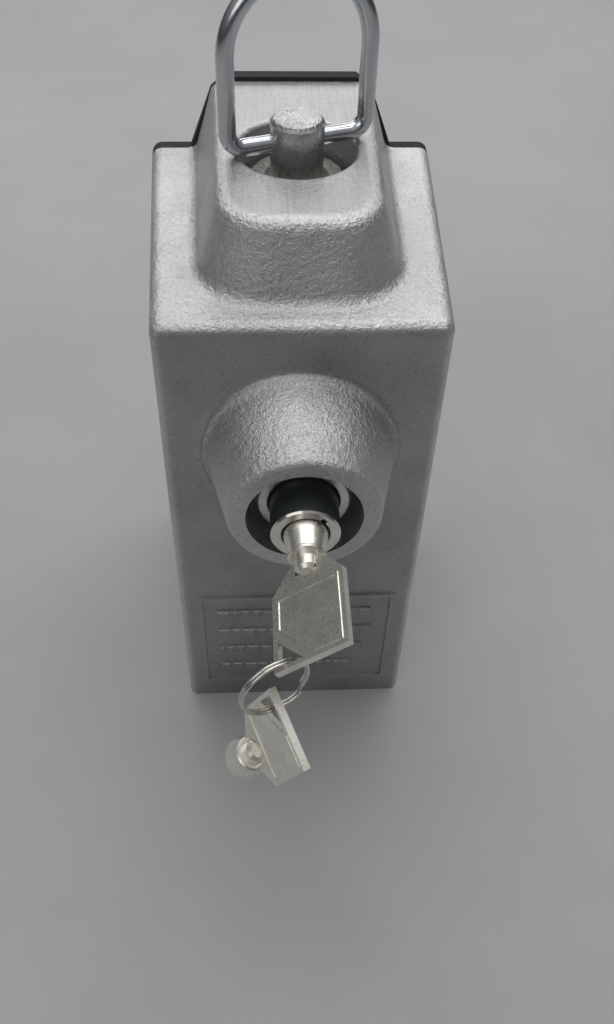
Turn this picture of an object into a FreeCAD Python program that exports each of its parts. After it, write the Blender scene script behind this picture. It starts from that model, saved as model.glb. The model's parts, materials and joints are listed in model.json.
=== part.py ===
import FreeCAD, Part
import math
import os

import Sketcher

# Hitch pin lock: a cast housing that stands on its base, a drop-in lock pin with
# a bail handle, a push-in plunger lock on the front and two keys on a split ring.
# Frame: millimetres, X to the right, Y to the back, Z up, base face centre at the
# origin. The lock is shown unlocked: plunger out, key in and turned.

os.makedirs("parts", exist_ok=True)
doc = FreeCAD.newDocument("hitch_pin_lock")

DIMENSIONS = [
    ("shell_height", 175.0),
    ("front_width", 80.0),
    ("back_width", 89.0),
    ("front_y", -48.5),
    ("back_y", 44.5),
    ("edge_round", 3.6),
    ("turret_top_z", 196.5),
    ("turret_base_half", 31.5),
    ("turret_top_half", 21.8),
    ("turret_top_front", -33.2),
    ("gasket_thickness", 4.0),
    ("gasket_proud", 1.2),
    ("pin_y", 4.4),
    ("pin_radius", 13.8),
    ("pin_bore_radius", 13.88),
    ("pin_shoulder_z", 188.0),
    ("pin_bottom_z", 5.0),
    ("pin_groove_radius", 8.4),
    ("post_radius", 7.5),
    ("post_top_z", 204.8),
    ("cross_hole_z", 198.6),
    ("turret_hole_radius", 16.7),
    ("turret_hole_floor", 180.0),
    ("bail_wire_radius", 2.4),
    ("bail_half_width", 19.9),
    ("bail_leg_height", 24.0),
    ("bail_bend_radius", 4.6),
    ("lock_z", 131.0),
    ("boss_base_radius", 30.0),
    ("boss_face_radius", 21.2),
    ("boss_face_y", -75.1),
    ("boss_bore_radius", 16.2),
    ("boss_bore_floor", -60.0),
    ("case_front_y", -69.1),
    ("case_rear_y", -22.0),
    ("case_radius", 13.0),
    ("case_bore_radius", 9.58),
    ("plunger_radius", 9.5),
    ("plunger_bore_radius", 6.68),
    ("plunger_face_y", -81.3),
    ("plunger_rear_y", -42.0),
    ("plug_radius", 6.6),
    ("plug_front_y", -76.2),
    ("shear_y", -64.2),
    ("tumbler_circle", 4.4),
    ("tumbler_radius", 0.8),
    ("tumbler_hole_radius", 0.88),
    ("spindle_radius", 2.0),
    ("bolt_radius", 5.0),
    ("bolt_tip_y", -16.4),
    ("key_collar_radius", 5.15),
    ("key_stub_radius", 3.45),
    ("bow_half_width", 11.2),
    ("bow_length", 31.2),
    ("bow_thickness", 2.0),
    ("ring_radius", 9.5),
    ("ring_wire_radius", 0.45),
]

sheet = doc.addObject("Spreadsheet::Sheet", "Dims")


class Dim:
    """A number that remembers the spreadsheet expression it comes from."""

    def __init__(self, text, number):
        self.text = text
        self.number = number

    def _join(self, other, sign, number):
        text = other.text if isinstance(other, Dim) else repr(float(other))
        return Dim("(%s %s %s)" % (self.text, sign, text), number)

    def __add__(self, other):
        return self._join(other, "+", self.number + num(other))

    def __sub__(self, other):
        return self._join(other, "-", self.number - num(other))

    def __mul__(self, other):
        return self._join(other, "*", self.number * num(other))

    def __neg__(self):
        return Dim("(0 - %s)" % self.text, -self.number)


def num(value):
    """Plain number of a Dim or of a number."""
    return value.number if isinstance(value, Dim) else float(value)


D = {}
for row, (name, number) in enumerate(DIMENSIONS, 1):
    sheet.set("A%d" % row, name)
    sheet.set("B%d" % row, repr(number))
    sheet.setAlias("B%d" % row, name)
    D[name] = Dim("Dims." + name, number)
doc.recompute()

V = FreeCAD.Vector
ALONG_Y = FreeCAD.Rotation(V(0, 0, 1), V(0, 1, 0))
PLANES = {"XY": "XY_Plane", "XZ": "XZ_Plane", "YZ": "YZ_Plane"}
AXES = {"X": "X_Axis", "Y": "Y_Axis", "Z": "Z_Axis"}


def new_body(label, placement=None):
    """PartDesign body for one sub-part."""
    body = doc.addObject("PartDesign::Body", label)
    body.Label = label
    if placement is not None:
        body.Placement = placement
    return body


def datum(body, role):
    """Origin plane or axis of a body, found by its role."""
    for feature in body.Origin.OriginFeatures:
        if feature.Role == role:
            return feature
    raise ValueError(role)


def new_sketch(body, plane, offset=0.0, suffix="sketch"):
    """Sketch attached to an origin plane, moved along the plane's normal."""
    sketch = body.newObject("Sketcher::SketchObject", body.Name + "_" + suffix)
    sketch.AttachmentSupport = [(datum(body, PLANES[plane]), "")]
    sketch.MapMode = "FlatFace"
    sketch.AttachmentOffset = FreeCAD.Placement(V(0, 0, num(offset)), FreeCAD.Rotation())
    if isinstance(offset, Dim):
        sketch.setExpression("AttachmentOffset.Base.z", offset.text)
    return sketch


def pin_point(sketch, geo, end, x, y):
    """Fix one sketch point by its coordinates, driven by the spreadsheet."""
    for kind, value, axis in (("DistanceX", x, -2), ("DistanceY", y, -1)):
        if abs(num(value)) < 1e-9:
            sketch.addConstraint(Sketcher.Constraint("PointOnObject", geo, end, axis))
            continue
        index = sketch.addConstraint(
            Sketcher.Constraint(kind, -1, 1, geo, end, num(value)))
        if isinstance(value, Dim):
            sketch.setExpression("Constraints[%d]" % index, value.text)


def draw_polygon(sketch, points):
    """Closed line outline through the points."""
    base = sketch.GeometryCount
    count = len(points)
    for i in range(count):
        start = points[i]
        stop = points[(i + 1) % count]
        sketch.addGeometry(Part.LineSegment(
            V(num(start[0]), num(start[1]), 0), V(num(stop[0]), num(stop[1]), 0)), False)
    for i in range(count):
        sketch.addConstraint(Sketcher.Constraint(
            "Coincident", base + i, 2, base + (i + 1) % count, 1))
    for i in range(count):
        pin_point(sketch, base + i, 1, points[i][0], points[i][1])


def draw_circle(sketch, x, y, radius):
    """Circle with driven centre and radius."""
    geo = sketch.addGeometry(
        Part.Circle(V(num(x), num(y), 0), V(0, 0, 1), num(radius)), False)
    pin_point(sketch, geo, 3, x, y)
    index = sketch.addConstraint(Sketcher.Constraint("Radius", geo, num(radius)))
    if isinstance(radius, Dim):
        sketch.setExpression("Constraints[%d]" % index, radius.text)


def rectangle(x0, y0, x1, y1):
    """Corner points of a rectangle."""
    return [(x0, y0), (x1, y0), (x1, y1), (x0, y1)]


def set_length(feature, prop, value):
    """Property driven by a number or by a spreadsheet expression."""
    setattr(feature, prop, num(value))
    if isinstance(value, Dim):
        feature.setExpression(prop, value.text)


def pad(body, sketch, length, reverse=False):
    """Pad a sketch along the plane's normal."""
    feature = body.newObject("PartDesign::Pad", sketch.Name + "_pad")
    feature.Profile = sketch
    set_length(feature, "Length", length)
    feature.Reversed = reverse
    sketch.Visibility = False
    return feature


def pocket(body, sketch, length, reverse=False):
    """Cut a sketch out of the body."""
    feature = body.newObject("PartDesign::Pocket", sketch.Name + "_cut")
    feature.Profile = sketch
    set_length(feature, "Length", length)
    feature.Reversed = reverse
    sketch.Visibility = False
    return feature


def revolve(body, sketch, axis="Y", cut=False):
    """Full turn of a sketch about an origin axis."""
    kind = "PartDesign::Groove" if cut else "PartDesign::Revolution"
    feature = body.newObject(kind, sketch.Name + "_turn")
    feature.Profile = sketch
    feature.ReferenceAxis = (datum(body, AXES[axis]), [""])
    feature.Angle = 360.0
    sketch.Visibility = False
    return feature


def dress(body, kind, size, chooser):
    """Fillet or chamfer the edges that chooser picks on the present tip."""
    doc.recompute()
    tip = body.Tip
    names = []
    for index, edge in enumerate(tip.Shape.Edges, 1):
        if chooser(edge):
            names.append("Edge%d" % index)
    feature = body.newObject("PartDesign::" + kind, body.Name + "_" + kind.lower())
    feature.Base = (tip, names)
    if kind == "Fillet":
        set_length(feature, "Radius", size)
    else:
        set_length(feature, "Size", size)
    return feature


def turned(label, profile, placement=None):
    """Body turned about its own Y axis; profile is a list of (radius, y)."""
    body = new_body(label, placement)
    sketch = new_sketch(body, "XY", 0.0, "profile")
    draw_polygon(sketch, profile)
    revolve(body, sketch, "Y")
    return body


def mid(edge):
    """Middle point of an edge."""
    return edge.valueAt((edge.FirstParameter + edge.LastParameter) / 2.0)


def solid_feature(label, shape, placement=None):
    """Plain solid for shapes that no sketch feature makes."""
    feature = doc.addObject("Part::Feature", label)
    feature.Label = label
    feature.Shape = shape
    if placement is not None:
        feature.Placement = placement
    return feature


LOCK_AXIS = FreeCAD.Placement(V(0, 0, D["lock_z"].number), FreeCAD.Rotation())
PIN_AXIS = FreeCAD.Placement(V(0, D["pin_y"].number, 0), FreeCAD.Rotation(V(1, 0, 0), 90))
BAIL_YAW = 17.0
KEY_ROLL = 38.0
KEY_COLLAR_Y = -89.5
CAVITY_HALF = 31.0
CAVITY_FLOOR = 14.0
CAVITY_TOP = 112.0
CAVITY_FRONT = -27.0
CORE_FLOOR = 120.0
CORE_TOP = 166.0
CORE_FRONT = 25.0
TURRET_DRAFT = 17.0
BOSS_DRAFT = 14.0


# ---------------------------------------------------------------- housing

def turret_outline(sketch, half, half_back, front, corner):
    """U outline: straight flanks from the back, rounded front corners."""
    back = D["back_y"] + 15.0
    x_front = num(half)
    y_corner = num(front) + corner
    points = [
        (-x_front, y_corner), (-x_front + corner, num(front)),
        (x_front - corner, num(front)), (x_front, y_corner),
    ]
    back_left = (-num(half_back), num(back))
    back_right = (num(half_back), num(back))
    root = math.sqrt(0.5)
    left_arc = Part.Arc(
        V(points[0][0], points[0][1], 0),
        V(-x_front + corner - corner * root, y_corner - corner * root, 0),
        V(points[1][0], points[1][1], 0))
    right_arc = Part.Arc(
        V(points[2][0], points[2][1], 0),
        V(x_front - corner + corner * root, y_corner - corner * root, 0),
        V(points[3][0], points[3][1], 0))
    sketch.addGeometry(Part.LineSegment(V(*back_left, 0), V(*points[0], 0)), False)
    sketch.addGeometry(left_arc, False)
    sketch.addGeometry(Part.LineSegment(V(*points[1], 0), V(*points[2], 0)), False)
    sketch.addGeometry(right_arc, False)
    sketch.addGeometry(Part.LineSegment(V(*points[3], 0), V(*back_right, 0)), False)
    sketch.addGeometry(Part.LineSegment(V(*back_right, 0), V(*back_left, 0)), False)
    pin_point(sketch, 0, 1, -half_back, back)
    pin_point(sketch, 4, 2, half_back, back)
    pin_point(sketch, 2, 1, -(half - corner), front)
    pin_point(sketch, 2, 2, half - corner, front)
    pin_point(sketch, 0, 2, -half, front + corner)
    pin_point(sketch, 4, 1, half, front + corner)


def housing():
    """Cast housing: drafted box, turret for the pin, conical boss for the lock."""
    body = new_body("housing")
    high = D["shell_height"]
    plan = new_sketch(body, "XY", 0.0, "plan")
    draw_polygon(plan, [
        (D["front_width"] * -0.5, D["front_y"]), (D["front_width"] * 0.5, D["front_y"]),
        (D["back_width"] * 0.5, D["back_y"]), (D["back_width"] * -0.5, D["back_y"]),
    ])
    pad(body, plan, high)

    def outer_edges(edge):
        box = edge.BoundBox
        top_edge = box.ZMin > num(high) - 0.01 and box.YMin < num(D["back_y"]) - 0.1
        upright = box.ZLength > 100 and box.YMax < num(D["front_y"]) + 0.01
        return top_edge or upright

    dress(body, "Fillet", D["edge_round"], outer_edges)

    crown = new_sketch(body, "XY", D["turret_top_z"], "turret")
    turret_outline(crown, D["turret_top_half"], D["turret_top_half"] + 2.6,
                   D["turret_top_front"], 13.5)
    turret = pad(body, crown, D["turret_top_z"] - high + 4.0, True)
    turret.TaperAngle = TURRET_DRAFT
    trim = new_sketch(body, "XY", high - 10.0, "trim")
    draw_polygon(trim, rectangle(-60.0, D["back_y"], 60.0, D["back_y"] + 40.0))
    pocket(body, trim, 60.0, True)

    def turret_rim(edge):
        box = edge.BoundBox
        return box.ZMin > num(D["turret_top_z"]) - 0.01 and box.YMin < num(D["back_y"]) - 0.1

    dress(body, "Fillet", 5.0, turret_rim)

    boss_end = new_sketch(body, "XZ", -D["boss_face_y"], "boss")
    draw_circle(boss_end, 0, D["lock_z"], D["boss_face_radius"])
    boss = pad(body, boss_end, D["front_y"] + 2.0 - D["boss_face_y"], True)
    boss.TaperAngle = BOSS_DRAFT

    def boss_rim(edge):
        box = edge.BoundBox
        return box.YMax < num(D["boss_face_y"]) + 0.01 and box.XLength > 30

    dress(body, "Fillet", 2.0, boss_rim)

    def boss_blend(edge):
        box = edge.BoundBox
        flat = box.YMax < num(D["front_y"]) + 0.01 and box.YMin > num(D["front_y"]) - 0.01
        return flat and box.ZMin > 95 and box.ZMax < 165

    dress(body, "Fillet", 5.0, boss_blend)

    def turret_blend(edge):
        box = edge.BoundBox
        flat = box.ZMax < num(high) + 0.01 and box.ZMin > num(high) - 0.01
        return flat and box.YMin < 44.0 and box.YMin > -44.0 and abs(mid(edge).x) < 35

    dress(body, "Fillet", 4.0, turret_blend)

    plate = new_sketch(body, "XZ", -D["front_y"], "plate_rim")
    draw_polygon(plate, rectangle(-34.0, 10.0, 34.0, 61.5))
    draw_polygon(plate, rectangle(-32.4, 11.6, 32.4, 59.9))
    pad(body, plate, 0.8)

    bars = new_sketch(body, "XZ", -D["front_y"], "plate_bars")
    for level, (left, right) in enumerate(((-28, 25), (-28, 27), (-28, 24), (-28, 21))):
        base = 49.4 - 10.6 * level
        draw_polygon(bars, rectangle(left, base, right, base + 4.6))
    pad(body, bars, 0.5)

    cavity = new_sketch(body, "XZ", -D["back_y"], "cavity")
    draw_polygon(cavity, rectangle(-CAVITY_HALF, CAVITY_FLOOR, CAVITY_HALF, CAVITY_TOP))
    pocket(body, cavity, D["back_y"] - CAVITY_FRONT, True)
    core = new_sketch(body, "XZ", -D["back_y"], "core")
    draw_polygon(core, rectangle(-CAVITY_HALF, CORE_FLOOR, CAVITY_HALF, CORE_TOP))
    pocket(body, core, D["back_y"] - CORE_FRONT, True)

    pin_bore = new_sketch(body, "XY", D["turret_top_z"] + 1.0, "pin_bore")
    draw_circle(pin_bore, 0, D["pin_y"], D["pin_bore_radius"])
    pocket(body, pin_bore, D["turret_top_z"] - 3.0)
    mouth = new_sketch(body, "XY", D["turret_top_z"] + 1.0, "turret_mouth")
    draw_circle(mouth, 0, D["pin_y"], D["turret_hole_radius"])
    pocket(body, mouth, D["turret_top_z"] + 1.0 - D["turret_hole_floor"])

    for name, radius, floor in (
            ("boss_bore", D["boss_bore_radius"], D["boss_bore_floor"]),
            ("case_bore", D["case_radius"] + 0.06, D["case_rear_y"] + 0.05),
            ("bolt_way", D["bolt_radius"] + 0.35, D["pin_y"] - 6.0)):
        bore = new_sketch(body, "XZ", -D["boss_face_y"] + 1.0, name)
        draw_circle(bore, 0, D["lock_z"], radius)
        pocket(body, bore, floor - D["boss_face_y"] + 1.0)

    keeper = new_sketch(body, "XY", CAVITY_TOP - 1.0, "keeper_hole")
    draw_circle(keeper, 0, -24.0, 1.77)
    pocket(body, keeper, 11.5, True)

    def mouth_rim(edge):
        box = edge.BoundBox
        round_edge = abs(box.XLength - 2 * num(D["turret_hole_radius"])) < 0.1
        return box.ZMin > num(D["turret_top_z"]) - 0.01 and round_edge

    dress(body, "Fillet", 1.4, mouth_rim)
    return body


def back_gasket():
    """Rubber strip round the open back of the housing."""
    body = new_body("back_gasket")
    sheet_sketch = new_sketch(body, "XZ", -D["back_y"], "sheet")
    half = D["back_width"] * 0.5
    proud = D["gasket_proud"]
    top = D["shell_height"]
    draw_polygon(sheet_sketch, [
        (-half + 0.0, 0), (half, 0), (half, top),
        (D["turret_base_half"] + 0.4, top),
        (D["turret_top_half"] + 3.0, D["turret_top_z"] - 3.0),
        (D["turret_top_half"] - 2.0, D["turret_top_z"] + proud),
        (-(D["turret_top_half"] - 2.0), D["turret_top_z"] + proud),
        (-(D["turret_top_half"] + 3.0), D["turret_top_z"] - 3.0),
        (-(D["turret_base_half"] + 0.4), top),
        (-half, top),
    ])
    pad(body, sheet_sketch, D["gasket_thickness"], True)
    for name, low, high in (("cavity", CAVITY_FLOOR, CAVITY_TOP), ("core", CORE_FLOOR, CORE_TOP)):
        window = new_sketch(body, "XZ", -(D["back_y"] - 1.0), name + "_window")
        draw_polygon(window, rectangle(-CAVITY_HALF, low, CAVITY_HALF, high))
        pocket(body, window, D["gasket_thickness"] + 2.0, False)

    def corner_edges(edge):
        point = mid(edge)
        return edge.BoundBox.YLength > 3.9 and abs(point.x) > 40 and point.z > 100

    dress(body, "Fillet", D["edge_round"], corner_edges)
    return body


# ---------------------------------------------------------------- lock pin and bail

def lock_pin():
    """Turned pin: long shank with lock groove, shoulder disc and cross-drilled post."""
    rad = D["pin_radius"]
    shoulder = D["pin_shoulder_z"]
    lock = D["lock_z"]
    root = D["pin_groove_radius"]
    post = D["post_radius"]
    body = turned("lock_pin", [
        (0, D["pin_bottom_z"]), (rad - 3.0, D["pin_bottom_z"]), (rad, D["pin_bottom_z"] + 3.0),
        (rad, lock - 7.0), (root, lock - 6.0), (root, lock + 6.0), (rad, lock + 7.0),
        (rad, shoulder - 0.8), (rad - 0.8, shoulder), (post + 1.6, shoulder),
        (post, shoulder + 1.6), (post, D["post_top_z"] - 1.0),
        (post - 1.0, D["post_top_z"]), (0, D["post_top_z"]),
    ], FreeCAD.Placement(
        V(0, D["pin_y"].number, 0),
        FreeCAD.Rotation(V(0, 0, 1), BAIL_YAW).multiply(FreeCAD.Rotation(V(1, 0, 0), 90))))
    cross = new_sketch(body, "YZ", -20.0, "cross_hole")
    draw_circle(cross, D["cross_hole_z"], 0, D["bail_wire_radius"] + 0.08)
    pocket(body, cross, 40.0, True)
    return body


def bail_handle():
    """Bent wire bail whose feet turn in the pin's cross hole."""
    body = new_body("bail_handle", FreeCAD.Placement(
        V(0, D["pin_y"].number, D["cross_hole_z"].number),
        FreeCAD.Rotation(V(0, 0, 1), BAIL_YAW)))
    half = num(D["bail_half_width"])
    bend = num(D["bail_bend_radius"])
    leg = num(D["bail_leg_height"])
    root = math.sqrt(0.5)
    foot = 3.6
    path = new_sketch(body, "XZ", 0.0, "path")
    lines = [
        Part.LineSegment(V(-foot, 0, 0), V(-half + bend, 0, 0)),
        Part.Arc(V(-half + bend, 0, 0),
                 V(-half + bend - bend * root, bend - bend * root, 0), V(-half, bend, 0)),
        Part.LineSegment(V(-half, bend, 0), V(-half, leg, 0)),
        Part.Arc(V(-half, leg, 0), V(0, leg + half, 0), V(half, leg, 0)),
        Part.LineSegment(V(half, leg, 0), V(half, bend, 0)),
        Part.Arc(V(half, bend, 0),
                 V(half - bend + bend * root, bend - bend * root, 0), V(half - bend, 0, 0)),
        Part.LineSegment(V(half - bend, 0, 0), V(foot, 0, 0)),
    ]
    for line in lines:
        path.addGeometry(line, False)
    pin_point(path, 0, 1, -foot, 0)
    pin_point(path, 0, 2, -(D["bail_half_width"] - D["bail_bend_radius"]), 0)
    pin_point(path, 2, 1, -D["bail_half_width"], D["bail_bend_radius"])
    pin_point(path, 2, 2, -D["bail_half_width"], D["bail_leg_height"])
    pin_point(path, 4, 1, D["bail_half_width"], D["bail_leg_height"])
    pin_point(path, 4, 2, D["bail_half_width"], D["bail_bend_radius"])
    pin_point(path, 6, 1, D["bail_half_width"] - D["bail_bend_radius"], 0)
    pin_point(path, 6, 2, foot, 0)
    section = new_sketch(body, "YZ", -foot, "wire")
    draw_circle(section, 0, 0, D["bail_wire_radius"])
    pipe = body.newObject("PartDesign::AdditivePipe", "bail_wire")
    pipe.Profile = section
    pipe.Spine = path
    return body


# ---------------------------------------------------------------- plunger lock

def lock_case():
    """Nickel case of the plunger lock, with two pockets for the locking dog."""
    rad = D["case_radius"]
    inner = D["case_bore_radius"]
    front = D["case_front_y"]
    rear = D["case_rear_y"]
    body = turned("lock_case", [
        (inner + 0.7, front), (rad - 0.5, front), (rad, front + 0.5), (rad, rear),
        (D["bolt_radius"] + 0.08, rear), (D["bolt_radius"] + 0.08, rear - 4.0),
        (inner, rear - 4.0), (inner, front + 0.7),
    ], LOCK_AXIS)
    pockets = new_sketch(body, "XY", 0.0, "dog_pockets")
    for start in (-53.9, -41.9):
        draw_polygon(pockets, rectangle(-2.35, start, 2.35, start + 3.8))
    pocket(body, pockets, 11.4, True)
    keeper = new_sketch(body, "XY", -15.0, "keeper_hole")
    draw_circle(keeper, 0, -24.0, 1.77)
    pocket(body, keeper, 6.2, True)
    return body


def case_retaining_pin():
    """Spring pin that keys the lock case into the housing."""
    body = new_body("case_retaining_pin")
    sketch = new_sketch(body, "XY", 112.6, "round")
    draw_circle(sketch, 0, -24.0, 1.75)
    pad(body, sketch, 9.2)
    return body


def plunger_shell():
    """Black plunger body with a front lip and a radial slot for the dog."""
    outer = D["plunger_radius"]
    bore = D["plunger_bore_radius"]
    face = D["plunger_face_y"] + 1.0
    body = turned("plunger_shell", [
        (5.0, face + 0.8), (6.7, face + 0.8), (6.7, face), (outer, face),
        (outer, D["plunger_rear_y"] - 0.6), (outer - 0.6, D["plunger_rear_y"]),
        (bore, D["plunger_rear_y"]), (bore, D["plug_front_y"] - 0.2),
        (5.0, D["plug_front_y"] - 0.2),
    ], LOCK_AXIS)
    slot = new_sketch(body, "XY", 0.0, "dog_slot")
    draw_polygon(slot, rectangle(-2.08, -53.68, 2.08, -50.32))
    pocket(body, slot, 12.0, True)
    return body


def face_bezel():
    """Bright ring pressed on the plunger's face, with a key notch."""
    face = D["plunger_face_y"]
    outer = D["plunger_radius"]
    body = turned("face_bezel", [
        (6.62, face + 1.0), (6.62, face + 0.3), (6.92, face),
        (outer - 0.5, face), (outer, face + 0.5), (outer, face + 1.0),
    ], FreeCAD.Placement(V(0, 0, D["lock_z"].number), FreeCAD.Rotation(V(0, 1, 0), 40)))
    notch = new_sketch(body, "XZ", 85.0, "notch")
    draw_polygon(notch, rectangle(-0.9, 6.0, 0.9, 8.0))
    pocket(body, notch, 6.0, False)
    return body


def tumbler_points():
    """Centres of the seven tumblers round the lock axis."""
    circle = D["tumbler_circle"].number
    step = 2.0 * math.pi / 7.0
    return [(circle * math.cos(step * i), circle * math.sin(step * i)) for i in range(7)]


def drilled_drum(label, radius, centre_radius, start, stop, hole_start, hole_stop):
    """Round drum with a centre hole and seven tumbler holes."""
    body = turned(label, [
        (centre_radius, start), (radius, start), (radius, stop), (centre_radius, stop),
    ], LOCK_AXIS)
    holes = new_sketch(body, "XZ", -hole_start, "tumbler_hole")
    draw_circle(holes, D["tumbler_circle"], 0, D["tumbler_hole_radius"])
    first = pocket(body, holes, hole_stop - hole_start)
    ring = body.newObject("PartDesign::PolarPattern", label + "_holes")
    ring.Originals = [first]
    ring.Axis = (datum(body, "Y_Axis"), [""])
    ring.Angle = 360.0
    ring.Occurrences = 7
    body.Tip = ring
    return body


def pin_set(label, radius, spans):
    """Seven small round pins, one per tumbler hole."""
    solids = []
    for (x, z), (start, stop) in zip(tumbler_points(), spans):
        base = V(x, start, D["lock_z"].number - z)
        solids.append(Part.makeCylinder(radius, stop - start, base, V(0, 1, 0)))
    return solid_feature(label, Part.makeCompound(solids))


def frame_placement(origin, x_dir, y_dir):
    """Placement from an origin, local X direction and rough local Y direction."""
    x_axis = V(*x_dir).normalize()
    z_axis = x_axis.cross(V(*y_dir)).normalize()
    y_axis = z_axis.cross(x_axis)
    matrix = FreeCAD.Matrix(
        x_axis.x, y_axis.x, z_axis.x, origin[0],
        x_axis.y, y_axis.y, z_axis.y, origin[1],
        x_axis.z, y_axis.z, z_axis.z, origin[2], 0, 0, 0, 1)
    return FreeCAD.Placement(matrix)


def coil(radius, wire, pitch, half_turns, last_sweep=180.0):
    """Round wire coil about +Z, built from tilted half rings that meet end to end."""
    pieces = []
    for i in range(half_turns):
        side = 1.0 if i % 2 == 0 else -1.0
        centre = V(0, 0, (i + 0.5) * pitch / 2.0)
        reach = V(side * radius, 0, i * pitch / 2.0) - centre
        sweep = last_sweep if i == half_turns - 1 else 180.0
        piece = Part.makeTorus(reach.Length, wire, V(0, 0, 0), V(0, 0, 1), -180, 180, sweep)
        piece.Placement = frame_placement(centre, reach, (0, side, 0))
        pieces.append(piece)
    return pieces[0].multiFuse(pieces[1:]) if len(pieces) > 1 else pieces[0]


def tumbler_springs():
    """Seven small coil springs behind the driver pins."""
    solids = []
    for x, z in tumbler_points():
        spring = coil(0.62, 0.13, 0.9, 9)
        spring.Placement = FreeCAD.Placement(
            V(x, -59.2, D["lock_z"].number - z), ALONG_Y)
        solids.append(spring)
    return solid_feature("tumbler_springs", Part.makeCompound(solids))


def return_spring():
    """Coil spring that pushes the plunger out."""
    return solid_feature(
        "plunger_return_spring", coil(7.6, 0.6, 5.2, 5),
        FreeCAD.Placement(V(0, -40.6, D["lock_z"].number), ALONG_Y))


def lock_bolt():
    """Round bolt on the back of the plunger, reaching for the pin's groove."""
    rad = D["bolt_radius"]
    tip = D["bolt_tip_y"]
    rear = D["plunger_rear_y"]
    return turned("lock_bolt", [
        (0, rear - 7.6), (D["plunger_bore_radius"], rear - 7.6),
        (D["plunger_bore_radius"], rear), (rad, rear),
        (rad, tip - 1.2), (rad - 1.2, tip), (0, tip),
    ], LOCK_AXIS)


def centre_post():
    """Post inside the key tube, running back as the spindle of the cam."""
    spindle = D["spindle_radius"]
    return turned("centre_post", [
        (0, D["plunger_face_y"] + 0.3), (3.4, D["plunger_face_y"] + 0.3),
        (3.85, D["plunger_face_y"] + 0.8), (3.85, D["plug_front_y"]),
        (spindle, D["plug_front_y"]), (spindle, -50.2), (0, -50.2),
    ], LOCK_AXIS)


def drive_cam():
    """Spiral cam on the spindle that lifts the locking dog."""
    body = new_body("drive_cam", LOCK_AXIS)
    sketch = new_sketch(body, "XZ", 53.6, "cam")
    points = []
    for step in range(24):
        angle = 15.0 * step
        lift = 0.0
        if 0.0 < angle <= 90.0:
            lift = 1.5 * min(angle / 60.0, 1.2)
        turn = math.radians(angle)
        points.append((-(4.5 + lift) * math.sin(turn), (4.5 + lift) * math.cos(turn)))
    draw_polygon(sketch, points)
    draw_circle(sketch, 0, 0, D["spindle_radius"])
    pad(body, sketch, 3.0, True)
    return body


def locking_dog():
    """Small steel dog in the plunger's radial slot."""
    body = new_body("locking_dog", LOCK_AXIS)
    sketch = new_sketch(body, "XY", 5.3, "dog")
    draw_polygon(sketch, rectangle(-2.0, -53.6, 2.0, -50.4))
    pad(body, sketch, 4.0)
    return body


# ---------------------------------------------------------------- keys and ring

def key_barrel(label, placement):
    """Tubular key barrel: hollow nose, tapered sleeve, collar and round stub."""
    collar = D["key_collar_radius"]
    stub = D["key_stub_radius"]
    return turned(label, [
        (0, -4.6), (stub - 1.0, -4.6), (stub, -3.6), (stub, 0), (collar - 0.5, 0),
        (collar, 0.4), (collar, 1.2), (collar - 0.25, 1.6), (6.25, 8.9), (4.8, 9.2),
        (4.8, 12.9), (4.0, 12.9), (4.0, 5.0), (0, 5.0),
    ], placement)


def key_bow(label, placement):
    """Flat key bow with a sunk panel on both sides and a corner ring hole."""
    body = new_body(label, placement)
    half = D["bow_half_width"]
    length = D["bow_length"]
    stub = D["key_stub_radius"]
    plate = new_sketch(body, "XY", D["bow_thickness"] * -0.5, "plate")
    draw_polygon(plate, [
        (-stub, 0), (-(stub + 0.7), 0), (-half, -8.2), (-half, -length),
        (half, -length), (half, -8.2), (stub + 0.7, 0), (stub, 0), (stub, -4.6), (-stub, -4.6),
    ])
    pad(body, plate, D["bow_thickness"])
    hole = new_sketch(body, "XY", -3.0, "ring_hole")
    draw_polygon(hole, [
        (-(half - 1.3), -(length - 1.3)), (-2.2, -(length - 1.3)),
        (-(half - 1.3), -(length - 9.0)),
    ])
    pocket(body, hole, 6.0, True)
    near = -9.4
    far = -(length - 1.6)
    rim = half - 1.5
    for side in (1.0, -1.0):
        surface = D["bow_thickness"] * (0.5 * side)
        ridge = new_sketch(body, "XY", surface, "ridge_up" if side > 0 else "ridge_down")
        for inset in (0.0, 0.7):
            draw_polygon(ridge, [
                (-(rim - inset), near - inset), (rim - inset, near - inset),
                (rim - inset, far + inset), (1.2 - inset * 0.4, far + inset),
                (-(rim - inset), -(length - 12.4) - inset * 0.4),
            ])
        pad(body, ridge, 0.3, side < 0)
    return body


def split_ring(placement):
    """Two close turns of round wire."""
    pitch = 0.94
    ring = coil(D["ring_radius"].number, D["ring_wire_radius"].number, pitch, 4, 168.0)
    ring.translate(V(0, 0, -pitch))
    return solid_feature("split_ring", ring, placement)


roll = math.radians(KEY_ROLL)
KEY_1 = frame_placement(
    (0, KEY_COLLAR_Y, D["lock_z"].number), (math.cos(roll), 0, math.sin(roll)), (0, 1, 0))
KEY_2 = frame_placement((-14.83, -117.31, 80.08), (0.377, -0.841, -0.388), (-0.293, 0.289, -0.911))
RING = frame_placement((-9.606, -118.89, 117.70), (0.762, 0.375, -0.527), (0.473, 0.2325, 0.85))

key_pin_spans = [(-76.1 + 0.35 * (i * 3 % 7), -64.2) for i in range(7)]
driver_spans = [(-64.1, -59.4)] * 7

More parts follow.
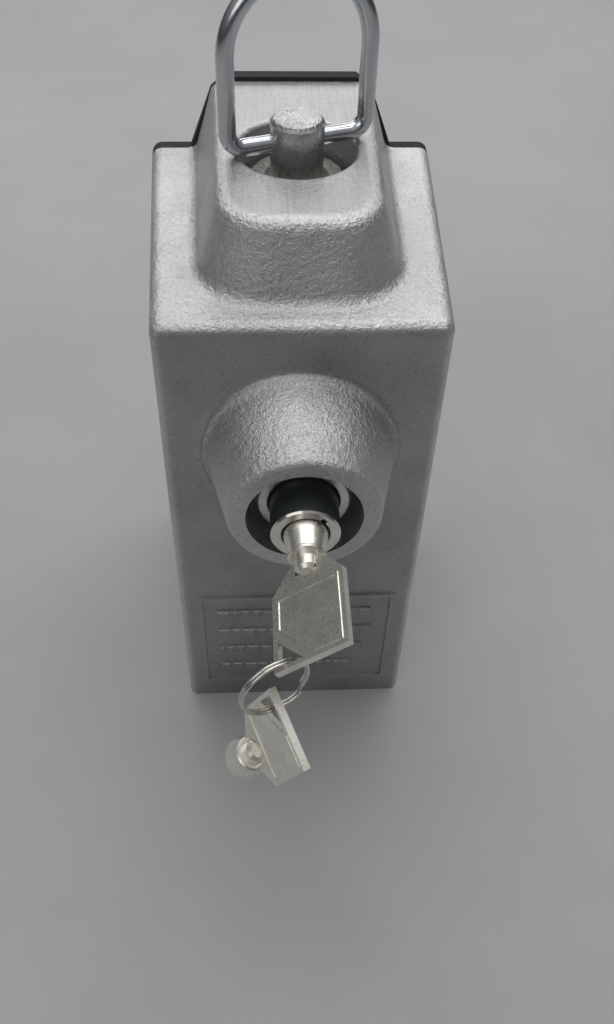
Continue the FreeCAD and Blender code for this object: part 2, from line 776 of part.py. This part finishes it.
nodes = [
    housing(), back_gasket(), lock_pin(), bail_handle(), lock_case(), case_retaining_pin(),
    plunger_shell(), face_bezel(),
    drilled_drum("tumbler_sleeve", D["plunger_bore_radius"], 2.08, -64.1, -54.1, -64.1, -54.7),
    pin_set("driver_pins", 0.8, driver_spans), tumbler_springs(), return_spring(),
    lock_bolt(),
    drilled_drum("lock_plug", D["plug_radius"], D["spindle_radius"], -76.2, -64.2, -76.2, -64.2),
    centre_post(), pin_set("key_pins", 0.8, key_pin_spans), drive_cam(), locking_dog(),
    key_barrel("key_1_barrel", KEY_1), key_bow("key_1_bow", KEY_1), split_ring(RING),
    key_barrel("key_2_barrel", KEY_2), key_bow("key_2_bow", KEY_2),
]

doc.recompute()

for item in doc.Objects:
    if "Invalid" in item.State or "Error" in item.State:
        raise RuntimeError("%s: %s" % (item.Name, item.State))
for node in nodes:
    if node.Shape.isNull() or not node.Shape.isValid():
        raise RuntimeError("bad shape: " + node.Label)
for node in nodes:
    node.Shape.exportStep("parts/%s.step" % node.Label)
    print(node.Label, round(node.Shape.Volume, 1), node.Shape.BoundBox)
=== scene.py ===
import json
import math

import bpy
from mathutils import Matrix, Vector


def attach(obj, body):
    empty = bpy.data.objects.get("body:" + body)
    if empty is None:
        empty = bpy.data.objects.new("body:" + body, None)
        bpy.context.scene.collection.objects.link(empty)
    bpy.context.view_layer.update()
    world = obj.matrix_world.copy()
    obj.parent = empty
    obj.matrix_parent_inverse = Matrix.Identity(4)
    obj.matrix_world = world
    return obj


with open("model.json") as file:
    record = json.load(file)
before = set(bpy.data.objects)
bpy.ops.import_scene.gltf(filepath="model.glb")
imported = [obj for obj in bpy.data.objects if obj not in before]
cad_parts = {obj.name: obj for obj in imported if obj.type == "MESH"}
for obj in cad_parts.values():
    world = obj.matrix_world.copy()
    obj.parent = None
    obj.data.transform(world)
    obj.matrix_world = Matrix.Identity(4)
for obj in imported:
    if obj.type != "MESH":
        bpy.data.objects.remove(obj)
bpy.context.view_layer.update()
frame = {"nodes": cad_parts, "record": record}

MM = 0.001

# Spans along Y or Z, in metres, over which one skin gives way to the next
FRONT_FACE_SPAN = (-0.04775, -0.04845)
BOSS_ROOT_SPAN = (-0.04925, -0.05)
TURRET_TOP_SPAN = (0.19615, 0.1964)
PIN_BRIGHT_SPAN = (0.19375, 0.2)
PIN_SAWN_SPAN = (0.2045, 0.20475)
# Gains that bring those coordinates between 0 and 1, where a colour ramp works
Y_GAIN = -20.0
Z_GAIN = 4.0


# ---------------------------------------------------------------- node helpers

def material(name):
    """New node material; returns it with its tree and shader."""
    mat = bpy.data.materials.new(name)
    mat.use_nodes = True
    tree = mat.node_tree
    return mat, tree, tree.nodes["Principled BSDF"]


def feed(tree, socket, value):
    """Link an input socket to an output, or give it a plain number or colour."""
    if isinstance(value, (int, float)):
        socket.default_value = value
    elif isinstance(value, tuple):
        socket.default_value = (*value, 1.0)
    else:
        tree.links.new(value, socket)


def coords(tree, scale=(1, 1, 1)):
    """Object coordinates, stretched by scale."""
    tex = tree.nodes.new("ShaderNodeTexCoord")
    mapping = tree.nodes.new("ShaderNodeMapping")
    mapping.inputs["Scale"].default_value = scale
    feed(tree, mapping.inputs["Vector"], tex.outputs["Object"])
    return mapping.outputs["Vector"]


def split_axes(tree, vector):
    """Outputs X, Y and Z of a vector."""
    node = tree.nodes.new("ShaderNodeSeparateXYZ")
    feed(tree, node.inputs[0], vector)
    return node.outputs


def noise(tree, vector, scale, detail, rough):
    """Factor output of a noise texture."""
    node = tree.nodes.new("ShaderNodeTexNoise")
    node.inputs["Scale"].default_value = scale
    node.inputs["Detail"].default_value = detail
    node.inputs["Roughness"].default_value = rough
    feed(tree, node.inputs["Vector"], vector)
    return node.outputs["Fac"]


def ramp(tree, value, stops):
    """Colour ramp; stops are (position, colour or grey)."""
    node = tree.nodes.new("ShaderNodeValToRGB")
    while len(node.color_ramp.elements) < len(stops):
        node.color_ramp.elements.new(0.5)
    for element, (place, shade) in zip(node.color_ramp.elements, stops):
        element.position = place
        rgb = shade if isinstance(shade, tuple) else (shade, shade, shade)
        element.color = (*rgb, 1.0)
    feed(tree, node.inputs["Fac"], value)
    return node.outputs["Color"]


def maths(tree, kind, a, b):
    """One arithmetic step on two sockets or numbers."""
    node = tree.nodes.new("ShaderNodeMath")
    node.operation = kind
    feed(tree, node.inputs[0], a)
    feed(tree, node.inputs[1], b)
    return node.outputs[0]


def fade(tree, coordinate, gain, span, ends=(0.0, 1.0)):
    """Mask that goes from one end value to the other over a span in metres."""
    stops = [(gain * place, end) for place, end in zip(span, ends)]
    return ramp(tree, maths(tree, "MULTIPLY", coordinate, gain), stops)


def bump(tree, height, strength, distance):
    """Normal roughened by a height."""
    node = tree.nodes.new("ShaderNodeBump")
    node.inputs["Strength"].default_value = strength
    node.inputs["Distance"].default_value = distance
    feed(tree, node.inputs["Height"], height)
    return node.outputs["Normal"]


def mix(tree, factor, a, b, blend="MIX"):
    """Blend of two colours."""
    node = tree.nodes.new("ShaderNodeMix")
    node.data_type = "RGBA"
    node.blend_type = blend
    feed(tree, node.inputs[0], factor)
    feed(tree, node.inputs[6], a)
    feed(tree, node.inputs[7], b)
    return node.outputs[2]


# ---------------------------------------------------------------- materials

def cast_aluminium():
    """Cast skin: orange peel everywhere, calmer and darker on the front face, and a
    ground, brushed top on the turret."""
    mat, tree, shader = material("cast_aluminium_skin")
    vec = coords(tree)
    axes = split_axes(tree, vec)
    peel = noise(tree, vec, 620.0, 3.0, 0.6)
    grain = noise(tree, vec, 2300.0, 2.0, 0.7)
    cloud = noise(tree, vec, 38.0, 4.0, 0.6)
    pits = noise(tree, vec, 1500.0, 1.0, 0.4)
    lines = noise(tree, coords(tree, (1, 0.04, 1)), 1600.0, 3.0, 0.6)

    front = fade(tree, axes["Y"], Y_GAIN, FRONT_FACE_SPAN)
    not_boss = fade(tree, axes["Y"], Y_GAIN, BOSS_ROOT_SPAN, (1.0, 0.0))
    flat = maths(tree, "MULTIPLY", front, not_boss)
    ground = fade(tree, axes["Z"], Z_GAIN, TURRET_TOP_SPAN)

    pale = ramp(tree, cloud, ((0.3, (0.53, 0.53, 0.54)), (0.7, (0.70, 0.70, 0.71))))
    dark = ramp(tree, cloud, ((0.3, (0.35, 0.35, 0.355)), (0.75, (0.48, 0.48, 0.485))))
    brushed = ramp(tree, lines, ((0.3, (0.40, 0.395, 0.39)), (0.7, (0.55, 0.545, 0.54))))
    colour = mix(tree, ground, mix(tree, flat, pale, dark), brushed)
    specks = ramp(tree, pits, ((0.27, 0.62), (0.35, 1.0)))
    feed(tree, shader.inputs["Base Color"], mix(tree, 1.0, colour, specks, "MULTIPLY"))
    feed(tree, shader.inputs["Metallic"], 1.0)
    feed(tree, shader.inputs["Roughness"], ramp(tree, grain, ((0.3, 0.34), (0.75, 0.52))))

    height = maths(tree, "ADD", peel, maths(tree, "MULTIPLY", grain, 0.45))
    calm = maths(tree, "MAXIMUM", maths(tree, "MULTIPLY", flat, 0.65),
                 maths(tree, "MULTIPLY", ground, 0.93))
    height = maths(tree, "MULTIPLY", height, maths(tree, "SUBTRACT", 1.0, calm))
    scratches = maths(tree, "MULTIPLY", maths(tree, "MULTIPLY", lines, ground), 0.06)
    height = maths(tree, "ADD", height, scratches)
    feed(tree, shader.inputs["Normal"], bump(tree, height, 1.0, 0.0006))
    return mat


def plated(name, low, high, rough, scale=900.0, stretch=(1, 1, 1), depth=0.00003):
    """Bright plated metal with fine wear."""
    mat, tree, shader = material(name)
    vec = coords(tree, stretch)
    wear = noise(tree, vec, scale, 4.0, 0.6)
    cloud = noise(tree, vec, scale * 0.12, 3.0, 0.5)
    feed(tree, shader.inputs["Base Color"], ramp(tree, cloud, ((0.3, low), (0.7, high))))
    feed(tree, shader.inputs["Metallic"], 1.0)
    feed(tree, shader.inputs["Roughness"],
         ramp(tree, wear, ((0.3, rough * 0.75), (0.75, rough * 1.5))))
    feed(tree, shader.inputs["Normal"], bump(tree, wear, 0.35, depth))
    return mat


def rubbery(name, low, high, rough, scale, depth):
    """Black non-metal with a grain."""
    mat, tree, shader = material(name)
    grain = noise(tree, coords(tree), scale, 3.0, 0.7)
    feed(tree, shader.inputs["Base Color"], ramp(tree, grain, ((0.35, low), (0.7, high))))
    feed(tree, shader.inputs["Roughness"],
         ramp(tree, grain, ((0.3, rough * 0.85), (0.7, min(1.0, rough * 1.2)))))
    feed(tree, shader.inputs["Normal"], bump(tree, grain, 0.5, depth))
    return mat


def pin_zinc():
    """Zinc pin: dull low on the post, bright at the top, saw marks on the cut end."""
    mat, tree, shader = material("zinc_pin")
    vec = coords(tree)
    axes = split_axes(tree, vec)
    wear = noise(tree, vec, 900.0, 4.0, 0.6)
    cloud = noise(tree, vec, 160.0, 3.0, 0.6)
    dull = ramp(tree, cloud, ((0.3, (0.42, 0.43, 0.40)), (0.7, (0.56, 0.57, 0.53))))
    bright = ramp(tree, cloud, ((0.3, (0.46, 0.47, 0.47)), (0.7, (0.62, 0.63, 0.63))))
    climb = fade(tree, axes["Z"], Z_GAIN, PIN_BRIGHT_SPAN)
    feed(tree, shader.inputs["Base Color"], mix(tree, climb, dull, bright))
    feed(tree, shader.inputs["Metallic"], 1.0)
    feed(tree, shader.inputs["Roughness"], ramp(tree, wear, ((0.3, 0.20), (0.75, 0.42))))

    saw = tree.nodes.new("ShaderNodeTexWave")
    saw.inputs["Scale"].default_value = 260.0
    saw.inputs["Distortion"].default_value = 9.0
    saw.inputs["Detail"].default_value = 3.0
    feed(tree, saw.inputs["Vector"], vec)
    sawn_end = fade(tree, axes["Z"], Z_GAIN, PIN_SAWN_SPAN)
    height = maths(tree, "ADD", maths(tree, "MULTIPLY", saw.outputs["Fac"], sawn_end),
                   maths(tree, "MULTIPLY", wear, 0.12))
    feed(tree, shader.inputs["Normal"], bump(tree, height, 0.7, 0.0004))
    return mat


MATS = {
    "cast_aluminium": cast_aluminium(),
    "gasket_rubber": rubbery("gasket_foam", (0.006, 0.006, 0.007), (0.05, 0.05, 0.052),
                             0.85, 1800.0, 0.0004),
    "zinc_steel": pin_zinc(),
    "zinc_wire": plated("zinc_wire_skin", (0.50, 0.52, 0.55), (0.72, 0.74, 0.77), 0.17,
                        1200.0, (1, 1, 0.2)),
    "satin_nickel": plated("satin_nickel_skin", (0.62, 0.61, 0.58), (0.78, 0.77, 0.74), 0.30),
    "steel_plain": plated("steel_skin", (0.42, 0.42, 0.42), (0.60, 0.60, 0.60), 0.35),
    "black_coat": rubbery("black_coating", (0.018, 0.023, 0.025), (0.034, 0.041, 0.043),
                          0.32, 2500.0, 0.00003),
    "bright_nickel": plated("bright_nickel_skin", (0.70, 0.68, 0.64), (0.82, 0.80, 0.76),
                            0.12, 2600.0, (1, 1, 1), 0.00001),
    "brass": plated("brass_skin", (0.62, 0.46, 0.20), (0.78, 0.60, 0.30), 0.3),
    "spring_steel": plated("spring_skin", (0.36, 0.36, 0.37), (0.5, 0.5, 0.5), 0.3),
    "key_nickel": plated("key_skin", (0.80, 0.78, 0.71), (0.92, 0.90, 0.83), 0.30, 1500.0),
    "ring_nickel": plated("ring_skin", (0.60, 0.58, 0.54), (0.78, 0.76, 0.71), 0.16, 1500.0),
}

slots = {part["node"]: part["material_slot"] for part in frame["record"]["subparts"]}
for name, obj in frame["nodes"].items():
    obj.data.materials.clear()
    obj.data.materials.append(MATS[slots[name]])


# ---------------------------------------------------------------- extra pieces

def add_mesh(name, verts, faces, mat, body, smooth=False):
    """Visual piece, given in millimetres, that moves with a CAD body."""
    mesh = bpy.data.meshes.new(name)
    mesh.from_pydata([(x * MM, y * MM, z * MM) for x, y, z in verts], [], faces)
    mesh.materials.append(mat)
    for face in mesh.polygons:
        face.use_smooth = smooth
    obj = bpy.data.objects.new(name, mesh)
    bpy.context.collection.objects.link(obj)
    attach(obj, body)
    return obj


def wobble(seed):
    """Repeatable number from 0 to 1."""
    return (math.sin(seed * 12.9898) * 43758.5453) % 1.0


PIP_ROW_START = -27.6
PIP_ROW_ENDS = (24.5, 26.5, 23.5, 20.5)
PIP_ROW_TOP = 49.7
PIP_ROW_PITCH = 10.6
PIP_GAP = 0.9
PIP_FOOT_Y = -48.95
PIP_FACE_Y = -49.28
PIP_DRAFT = 0.35


def cast_pips():
    """Plain raised blocks along the four bars of the framed plate."""
    verts = []
    faces = []
    seed = 1
    for level, right in enumerate(PIP_ROW_ENDS):
        base = PIP_ROW_TOP - PIP_ROW_PITCH * level
        x = PIP_ROW_START
        while x < right - 2.0:
            width = 2.0 + 2.4 * wobble(seed)
            tall = 3.3 + 0.6 * wobble(seed + 7)
            seed += 1
            a = len(verts)
            for y, inset in ((PIP_FOOT_Y, 0.0), (PIP_FACE_Y, PIP_DRAFT)):
                x0, x1 = x + inset, x + width - inset
                z0, z1 = base + inset, base + tall - inset
                verts += [(x0, y, z0), (x1, y, z0), (x1, y, z1), (x0, y, z1)]
            faces.append((a + 4, a + 5, a + 6, a + 7))
            for i in range(4):
                j = (i + 1) % 4
                faces.append((a + i, a + j, a + 4 + j, a + 4 + i))
            faces.append((a + 3, a + 2, a + 1, a))
            x += width + PIP_GAP
    add_mesh("cast_pips", verts, faces, MATS["cast_aluminium"], "housing_body")


BURR_COUNT = 72
BURR_Z = 204.76
BURR_OUTER = 6.58
BURR_INNER = 6.15
PIN_Y = 4.4


def cut_burr():
    """Ragged lip left by the saw round the top of the pin."""
    verts = []
    faces = []
    for i in range(BURR_COUNT):
        angle = 2.0 * math.pi * i / BURR_COUNT
        rag = wobble(i * 3 + 5)
        inner = BURR_INNER - 0.35 * wobble(i + 50)
        middle = (inner + BURR_OUTER) / 2
        lift = 0.03 + 0.10 * rag * rag
        for radius, z in ((inner, BURR_Z + 0.02), (middle, BURR_Z + lift),
                          (BURR_OUTER, BURR_Z - 0.03), (middle, BURR_Z - 0.1)):
            verts.append((radius * math.cos(angle), PIN_Y + radius * math.sin(angle), z))
    for i in range(BURR_COUNT):
        j = (i + 1) % BURR_COUNT
        for k in range(4):
            m = (k + 1) % 4
            faces.append((i * 4 + k, i * 4 + m, j * 4 + m, j * 4 + k))
    add_mesh("cut_burr", verts, faces, MATS["zinc_steel"], "pin_body", True)


cast_pips()
cut_burr()

SOFT_EDGE = 0.14 * MM
for name in ("key_1_bow", "key_2_bow", "plunger_shell", "face_bezel", "lock_case"):
    edge = frame["nodes"][name].modifiers.new("soft_edges", "BEVEL")
    edge.width = SOFT_EDGE
    edge.segments = 2
    edge.limit_method = "ANGLE"
    edge.angle_limit = math.radians(35)


# ---------------------------------------------------------------- stage

FLOOR_HALF = 1.6


def floor():
    """Pale grey sheet under and behind the object."""
    mesh = bpy.data.meshes.new("floor_sheet")
    near, far = -FLOOR_HALF, FLOOR_HALF * 2
    mesh.from_pydata([(-FLOOR_HALF, near, 0), (FLOOR_HALF, near, 0), (FLOOR_HALF, far, 0),
                      (-FLOOR_HALF, far, 0)], [], [(0, 1, 2, 3)])
    obj = bpy.data.objects.new("floor_sheet", mesh)
    bpy.context.collection.objects.link(obj)
    mat, tree, shader = material("floor_grey")
    vec = coords(tree)
    cloud = noise(tree, vec, 9.0, 4.0, 0.6)
    fine = noise(tree, vec, 700.0, 2.0, 0.6)
    feed(tree, shader.inputs["Base Color"],
         ramp(tree, cloud, ((0.3, (0.385, 0.39, 0.395)), (0.75, (0.435, 0.44, 0.44)))))
    feed(tree, shader.inputs["Roughness"], ramp(tree, fine, ((0.3, 0.42), (0.7, 0.58))))
    feed(tree, shader.inputs["Normal"], bump(tree, fine, 0.15, 0.0001))
    mesh.materials.append(mat)


def area_light(name, place, aim_height, size, power):
    """White rectangular light aimed at a height on the Z axis."""
    data = bpy.data.lights.new(name, "AREA")
    data.shape = "RECTANGLE"
    data.size, data.size_y = size
    data.energy = power
    obj = bpy.data.objects.new(name, data)
    obj.location = place
    aim = Vector((0, 0, aim_height)) - Vector(place)
    obj.rotation_euler = aim.to_track_quat("-Z", "Y").to_euler()
    bpy.context.collection.objects.link(obj)


def soft_room():
    """World that is dark below the horizon and bright overhead."""
    world = bpy.data.worlds.new("soft_room")
    bpy.context.scene.world = world
    world.use_nodes = True
    tree = world.node_tree
    background = tree.nodes["Background"]
    coord = tree.nodes.new("ShaderNodeTexCoord")
    height = split_axes(tree, coord.outputs["Generated"])["Z"]
    shades = ((0.0, 0.10), (0.2, 0.20), (0.5, 0.42), (1.0, 0.85))
    feed(tree, background.inputs["Color"], ramp(tree, height, shades))
    background.inputs["Strength"].default_value = 0.55


floor()
area_light("top_soft", (0.05, 0.30, 1.15), 0.1, (1.3, 0.9), 6.4)
area_light("front_fill", (-0.55, -0.9, 0.9), 0.1, (0.8, 0.8), 1.8)
area_light("back_strip", (0.0, 1.3, 0.6), 0.15, (1.8, 0.35), 4.5)
soft_room()


# ---------------------------------------------------------------- camera

SENSOR_HEIGHT = 24.0
LENS = 23.1234375
CAMERA_PLACE = (-0.01246, -0.25308, 0.33178)
PITCH, ROLL, YAW = (math.radians(angle) for angle in (48.0, 2.05, 4.18))


def make_camera():
    """Camera above and in front, looking down at the object."""
    data = bpy.data.cameras.new("camera")
    data.sensor_fit = "VERTICAL"
    data.sensor_height = SENSOR_HEIGHT
    data.lens = LENS
    data.clip_start = 0.01
    camera = bpy.data.objects.new("camera", data)
    bpy.context.collection.objects.link(camera)
    forward = Vector((math.sin(YAW) * math.cos(PITCH), math.cos(YAW) * math.cos(PITCH),
                      -math.sin(PITCH)))
    right = Vector((math.cos(YAW), -math.sin(YAW), 0.0))
    up = right.cross(forward)
    rolled_right = right * math.cos(ROLL) + up * math.sin(ROLL)
    rolled_up = up * math.cos(ROLL) - right * math.sin(ROLL)
    turn = Matrix((rolled_right, rolled_up, -forward)).transposed().to_4x4()
    camera.matrix_world = Matrix.Translation(CAMERA_PLACE) @ turn
    bpy.context.scene.camera = camera


make_camera()
bpy.context.scene.view_settings.view_transform = "Standard"
